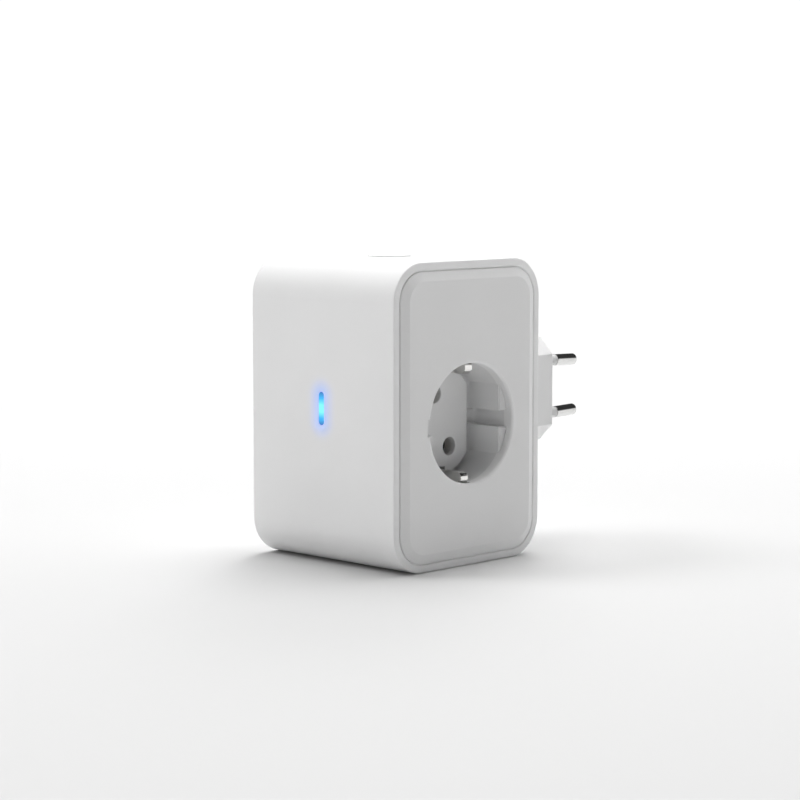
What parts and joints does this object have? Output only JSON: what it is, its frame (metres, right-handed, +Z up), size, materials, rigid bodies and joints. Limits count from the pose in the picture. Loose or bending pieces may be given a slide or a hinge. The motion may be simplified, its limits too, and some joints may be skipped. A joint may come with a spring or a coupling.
{
  "type": "smart plug",
  "caption": "Box-shaped smart plug with an earthed outlet on its side, a two-pin mains plug at the back, a lit slot in front and a push-button on top.",
  "frame": {"origin": "on the floor, under the middle of the whole object's box, plug included", "axes": "+X out of the outlet, +Y out of the mains plug towards the wall socket, +Z up, -Y front with the lit slot"},
  "size_m": [0.068, 0.1076, 0.0993],
  "materials": {
    "casing_white": "fine satin moulded ABS",
    "panel_white": "fine matt moulded ABS",
    "well_white": "matt moulded plastic",
    "plug_white": "fine matt moulded plastic",
    "button_white": "fine satin moulded ABS",
    "heat_resin": "matt heat-resisting resin",
    "contact_brass": "bright stamped",
    "earth_metal": "bright nickel plate",
    "pin_metal": "bright nickel plate",
    "screw_steel": "zinc plate",
    "sleeve_grey": "matt",
    "live_insulation": "soft PVC",
    "neutral_insulation": "soft PVC",
    "board_green": "solder mask",
    "relay_black": "matt",
    "relay_blue": "gloss",
    "soft_iron": "bright plated",
    "copper_winding": "enamelled wire",
    "ferrite": "sintered",
    "winding_tape": "polyester tape",
    "capacitor_black": "heat-shrink sleeve",
    "capacitor_yellow": "epoxy box",
    "varistor_blue": "epoxy dip",
    "fuse_brown": "moulded",
    "shield_can": "tin plate",
    "led_blue": "lit",
    "light_pipe_blue": "clear diffuser, lit blue"
  },
  "bodies": {
    "casing": {"outer_sleeve": "casing_white", "socket_panel": "panel_white", "end_cover": "panel_white", "cover_screws": "screw_steel", "socket_well": "well_white", "well_screws": "screw_steel", "contact_carrier": "heat_resin", "carrier_screws": "screw_steel", "live_contact": "contact_brass", "neutral_contact": "contact_brass", "earth_strap": "earth_metal", "plug_body": "plug_white", "plug_pin_live": "pin_metal", "plug_pin_neutral": "pin_metal", "pin_sleeves": "sleeve_grey", "live_wire": "live_insulation", "neutral_wire": "neutral_insulation", "main_board": "board_green", "board_screws": "screw_steel", "relay_base": "relay_black", "relay_cover": "relay_blue", "relay_yoke": "soft_iron", "relay_bobbin": "relay_black", "relay_winding": "copper_winding", "relay_contact": "contact_brass", "transformer_core": "ferrite", "transformer_coil": "winding_tape", "bulk_capacitors": "capacitor_black", "film_capacitor": "capacitor_yellow", "filter_choke": "copper_winding", "surge_varistor": "varistor_blue", "mains_fuse": "fuse_brown", "bridge_rectifier": "relay_black", "meter_shunt": "contact_brass", "radio_board": "board_green", "radio_shield": "shield_can", "status_led": "led_blue", "light_pipe": "light_pipe_blue", "tact_switch": "relay_black"},
    "button": {"button_cap": "button_white", "switch_plunger": "relay_black"},
    "armature": {"relay_armature": "soft_iron"},
    "earth_spring_top": {"earth_clip_top": "earth_metal"},
    "earth_spring_bottom": {"earth_clip_bottom": "earth_metal"}
  },
  "joints": [
    {"name": "button_press", "type": "slide", "parent": "casing", "child": "button", "axis": [0, 0, -1], "range_m": [0, 0.0005], "stiffness_N_per_m": 1000},
    {"name": "relay_pull", "type": "hinge", "parent": "casing", "child": "armature", "pos_m": [-0.0153, -0.0377, 0.0515], "axis": [0, 1, 0], "range_deg": [0, 3.5], "stiffness_Nm_per_rad": 0.02},
    {"name": "earth_flex_top", "type": "hinge", "parent": "casing", "child": "earth_spring_top", "pos_m": [0.01505, -0.01826, 0.06228], "axis": [0, -0.9986, 0.0523], "range_deg": [0, 5], "stiffness_Nm_per_rad": 0.4},
    {"name": "earth_flex_bottom", "type": "hinge", "parent": "casing", "child": "earth_spring_bottom", "pos_m": [0.01505, -0.01994, 0.03012], "axis": [0, 0.9986, -0.0523], "range_deg": [0, 5], "stiffness_Nm_per_rad": 0.4}
  ]
}
